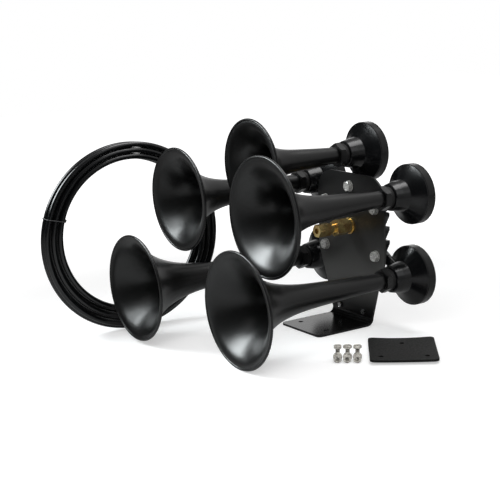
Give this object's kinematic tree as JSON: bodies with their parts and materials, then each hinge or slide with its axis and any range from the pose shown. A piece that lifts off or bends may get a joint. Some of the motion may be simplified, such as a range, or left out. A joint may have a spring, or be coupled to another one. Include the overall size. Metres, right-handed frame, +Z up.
{
  "type": "train air horn",
  "caption": "Cluster air horn: flared trumpets with diaphragm housings on a bent steel bracket, brass air inlet, hose coil and mounting kit.",
  "frame": {"origin": "midway between the two front bolt holes of the foot, on its underside", "axes": "+Z up, -Y the way the bells point, X = 0 through the top horn and the air inlet"},
  "size_m": [0.4363, 0.4407, 0.31],
  "materials": {
    "gloss_black_sheet": "gloss black powder coat on bent steel sheet",
    "black_casting": "semi-gloss black paint on a light alloy casting",
    "brass": "machined brass, lightly tarnished",
    "hose_nylon": "glossy black nylon air line",
    "tie_wire": "plastic-coated wire tie",
    "pad_rubber": "matt black rubber sheet",
    "zinc_fixings": "bright zinc plate",
    "loose_zinc": "zinc plate with a faint yellow passivate",
    "low_screw_zinc": "zinc plate",
    "seal_rubber": "black nitrile rubber",
    "diaphragm_steel": "spring steel",
    "satin_black_trumpet": "satin black paint on spun metal",
    "satin_black_housing": "semi-gloss black paint on a light alloy casting",
    "black_cap": "semi-gloss black paint",
    "black_nut": "semi-gloss black paint"
  },
  "bodies": {
    "horn_cluster": {"air_manifold": "black_casting", "foot_bolts": "loose_zinc", "foot_nuts": "loose_zinc", "foot_washers": "loose_zinc", "hose_coil": "hose_nylon", "hose_tie": "tie_wire", "inlet_adapter": "brass", "inlet_nut": "brass", "inlet_sleeve": "brass", "inlet_washer": "brass", "left_lower_horn_cap": "black_cap", "left_lower_horn_clamp_ring": "seal_rubber", "left_lower_horn_housing": "satin_black_housing", "left_lower_horn_lock_nut": "black_nut", "left_lower_horn_stub_seal": "seal_rubber", "left_lower_horn_trumpet": "satin_black_trumpet", "left_upper_horn_cap": "black_cap", "left_upper_horn_clamp_ring": "seal_rubber", "left_upper_horn_housing": "satin_black_housing", "left_upper_horn_lock_nut": "black_nut", "left_upper_horn_stub_seal": "seal_rubber", "left_upper_horn_trumpet": "satin_black_trumpet", "low_screw_nuts": "low_screw_zinc", "low_screws": "low_screw_zinc", "mounting_bracket": "gloss_black_sheet", "port_seals": "seal_rubber", "right_lower_horn_cap": "black_cap", "right_lower_horn_clamp_ring": "seal_rubber", "right_lower_horn_housing": "satin_black_housing", "right_lower_horn_lock_nut": "black_nut", "right_lower_horn_stub_seal": "seal_rubber", "right_lower_horn_trumpet": "satin_black_trumpet", "right_upper_horn_cap": "black_cap", "right_upper_horn_clamp_ring": "seal_rubber", "right_upper_horn_housing": "satin_black_housing", "right_upper_horn_lock_nut": "black_nut", "right_upper_horn_stub_seal": "seal_rubber", "right_upper_horn_trumpet": "satin_black_trumpet", "rubber_pad": "pad_rubber", "top_horn_cap": "black_cap", "top_horn_clamp_ring": "seal_rubber", "top_horn_housing": "satin_black_housing", "top_horn_lock_nut": "black_nut", "top_horn_stub_seal": "seal_rubber", "top_horn_trumpet": "satin_black_trumpet", "wall_bolts": "zinc_fixings", "wall_washers": "zinc_fixings"},
    "top_diaphragm_disc": {"top_horn_diaphragm": "diaphragm_steel"},
    "right_upper_diaphragm_disc": {"right_upper_horn_diaphragm": "diaphragm_steel"},
    "right_lower_diaphragm_disc": {"right_lower_horn_diaphragm": "diaphragm_steel"},
    "left_upper_diaphragm_disc": {"left_upper_horn_diaphragm": "diaphragm_steel"},
    "left_lower_diaphragm_disc": {"left_lower_horn_diaphragm": "diaphragm_steel"}
  },
  "joints": [
    {"name": "top_diaphragm_travel", "type": "slide", "parent": "horn_cluster", "child": "top_diaphragm_disc", "axis": [0, 1, 0], "range_m": [0, 0.0005], "stiffness_N_per_m": 2000},
    {"name": "right_upper_diaphragm_travel", "type": "slide", "parent": "horn_cluster", "child": "right_upper_diaphragm_disc", "axis": [0, 1, 0], "range_m": [0, 0.0005], "stiffness_N_per_m": 2000},
    {"name": "right_lower_diaphragm_travel", "type": "slide", "parent": "horn_cluster", "child": "right_lower_diaphragm_disc", "axis": [0, 1, 0], "range_m": [0, 0.0005], "stiffness_N_per_m": 2000},
    {"name": "left_upper_diaphragm_travel", "type": "slide", "parent": "horn_cluster", "child": "left_upper_diaphragm_disc", "axis": [0, 1, 0], "range_m": [0, 0.0005], "stiffness_N_per_m": 2000},
    {"name": "left_lower_diaphragm_travel", "type": "slide", "parent": "horn_cluster", "child": "left_lower_diaphragm_disc", "axis": [0, 1, 0], "range_m": [0, 0.0005], "stiffness_N_per_m": 2000}
  ]
}
